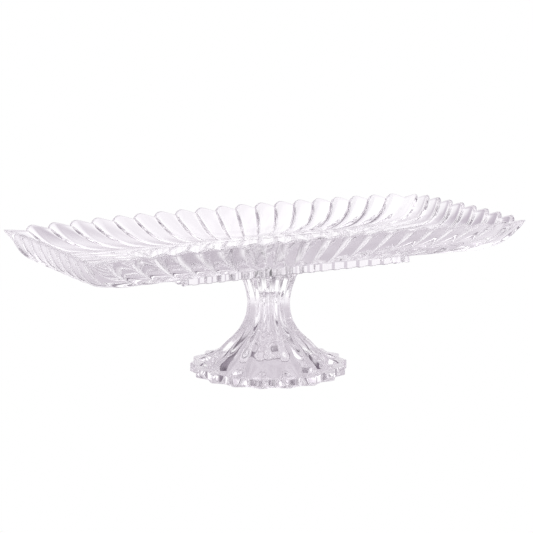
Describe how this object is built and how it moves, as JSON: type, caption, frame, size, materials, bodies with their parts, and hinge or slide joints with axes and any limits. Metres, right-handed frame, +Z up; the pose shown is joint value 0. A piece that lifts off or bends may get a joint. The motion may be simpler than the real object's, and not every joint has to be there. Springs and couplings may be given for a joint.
{
  "type": "cake stand",
  "caption": "Oblong footed cake stand in clear pressed glass: lobed tray with a notched rim beneath, on a hollow fluted pedestal with a toothed foot.",
  "frame": {"origin": "on the table under the middle of the foot", "axes": "+X along the tray, +Y across it, +Z up"},
  "size_m": [0.38, 0.168, 0.1194],
  "materials": {
    "tray_glass": "fire-polished",
    "pedestal_glass": "fire-polished",
    "clear_adhesive": "clear"
  },
  "bodies": {
    "root": {"tray": "tray_glass", "pedestal": "pedestal_glass", "bond_film": "clear_adhesive"}
  },
  "joints": []
}
